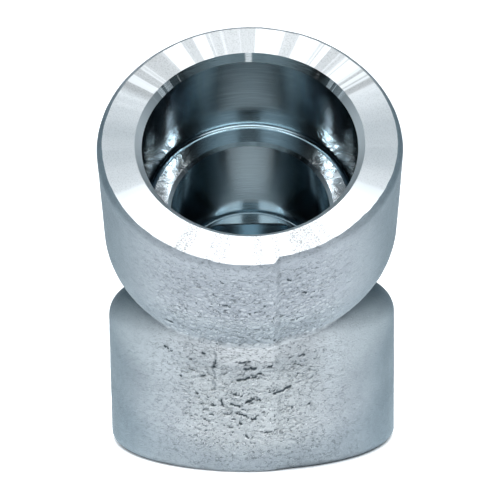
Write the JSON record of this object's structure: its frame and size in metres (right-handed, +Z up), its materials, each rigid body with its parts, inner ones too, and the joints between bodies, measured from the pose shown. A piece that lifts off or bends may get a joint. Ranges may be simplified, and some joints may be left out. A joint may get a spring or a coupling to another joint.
{
  "type": "socket weld forty-five degree pipe elbow",
  "caption": "Forged forty-five degree pipe elbow with a plain counterbored socket at each end for welding on pipe, and a drilled waterway through the bend.",
  "frame": {"origin": "centre of the lower end face, on the lower socket's axis; the part stands on this face", "axes": "+Z up along the lower socket's axis towards the bend, the upper leg leans towards -Y at forty-five degrees, +X across the bend"},
  "size_m": [0.0386, 0.0503, 0.056],
  "materials": {
    "elbow_body": "dull pickled forging skin outside, bright turned end faces and bored sockets"
  },
  "bodies": {
    "root": {"elbow_body": "elbow_body"}
  },
  "joints": []
}
